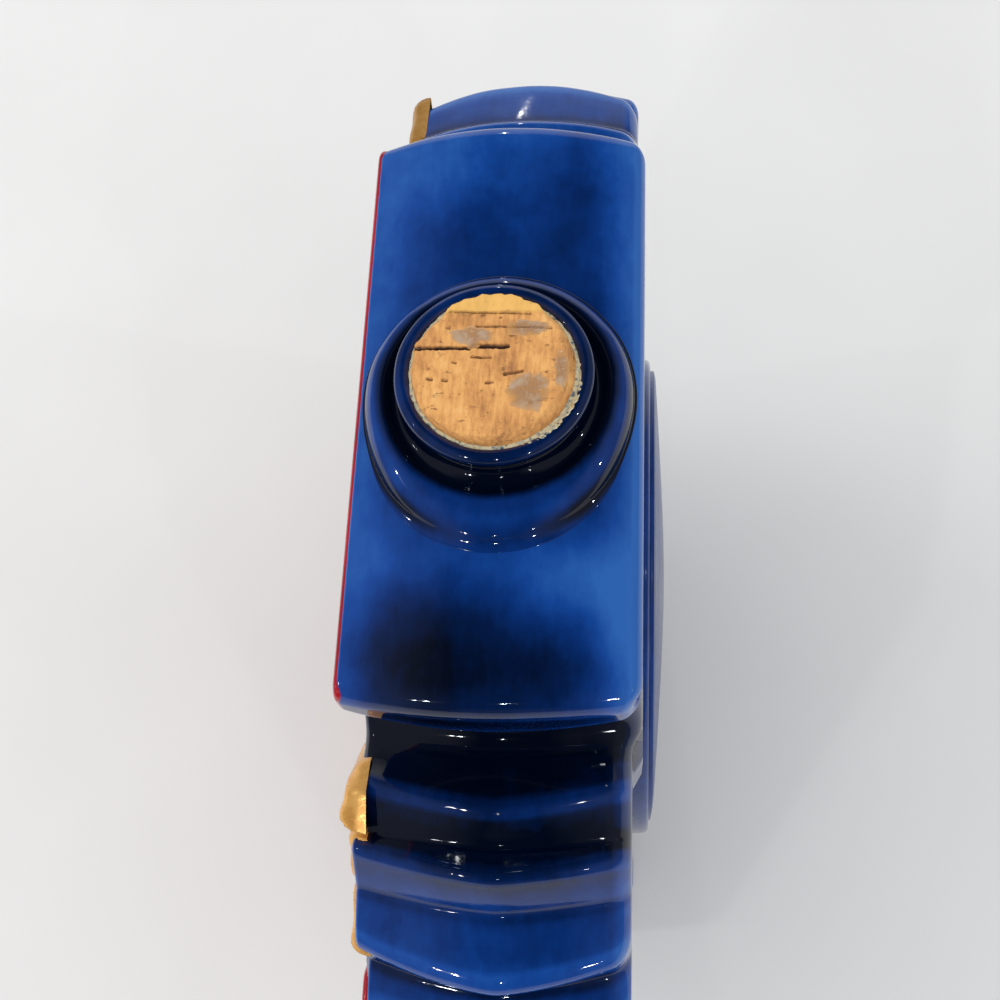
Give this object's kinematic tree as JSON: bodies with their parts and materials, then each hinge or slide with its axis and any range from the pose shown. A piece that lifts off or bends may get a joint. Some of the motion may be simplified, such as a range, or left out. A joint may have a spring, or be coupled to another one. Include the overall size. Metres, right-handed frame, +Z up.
{
  "type": "figural liquor decanter",
  "caption": "Flat glazed ceramic liquor decanter shaped as a heraldic cross medal with rays, with a corked neck on its top arm.",
  "frame": {"origin": "middle of the table plane under the foot ring", "axes": "+X along the width, -Y towards the decorated front, +Z up along the neck"},
  "size_m": [0.184, 0.054, 0.1995],
  "materials": {
    "blue_glaze": "gloss cobalt blue glaze",
    "red_enamel": "gloss red glaze",
    "gold_lustre": "fired gold lustre, lightly rubbed",
    "bare_ceramic": "unglazed, matt",
    "cork": "cut natural cork",
    "dried_glue": "dried translucent glue"
  },
  "bodies": {
    "decanter": {"front_shell": "blue_glaze", "back_shell": "blue_glaze", "neck": "blue_glaze", "mouth_band": "bare_ceramic", "arm_panel_top": "red_enamel", "arm_panel_bottom": "red_enamel", "arm_panel_left": "red_enamel", "arm_panel_right": "red_enamel", "ray_fan_upper_left": "gold_lustre", "ray_fan_upper_right": "gold_lustre", "ray_fan_lower_left": "gold_lustre", "ray_fan_lower_right": "gold_lustre", "roundel_disc": "blue_glaze", "roundel_ring": "gold_lustre", "laurel_wreath": "gold_lustre", "rosette": "gold_lustre", "back_medallion": "blue_glaze", "back_medallion_ring": "blue_glaze", "foot_ring": "bare_ceramic"},
    "cork": {"cork_plug": "cork", "glue_residue": "dried_glue"}
  },
  "joints": [
    {"name": "cork_pull", "type": "slide", "parent": "decanter", "child": "cork", "axis": [0, 0, 1], "range_m": [0, 0.026]}
  ]
}
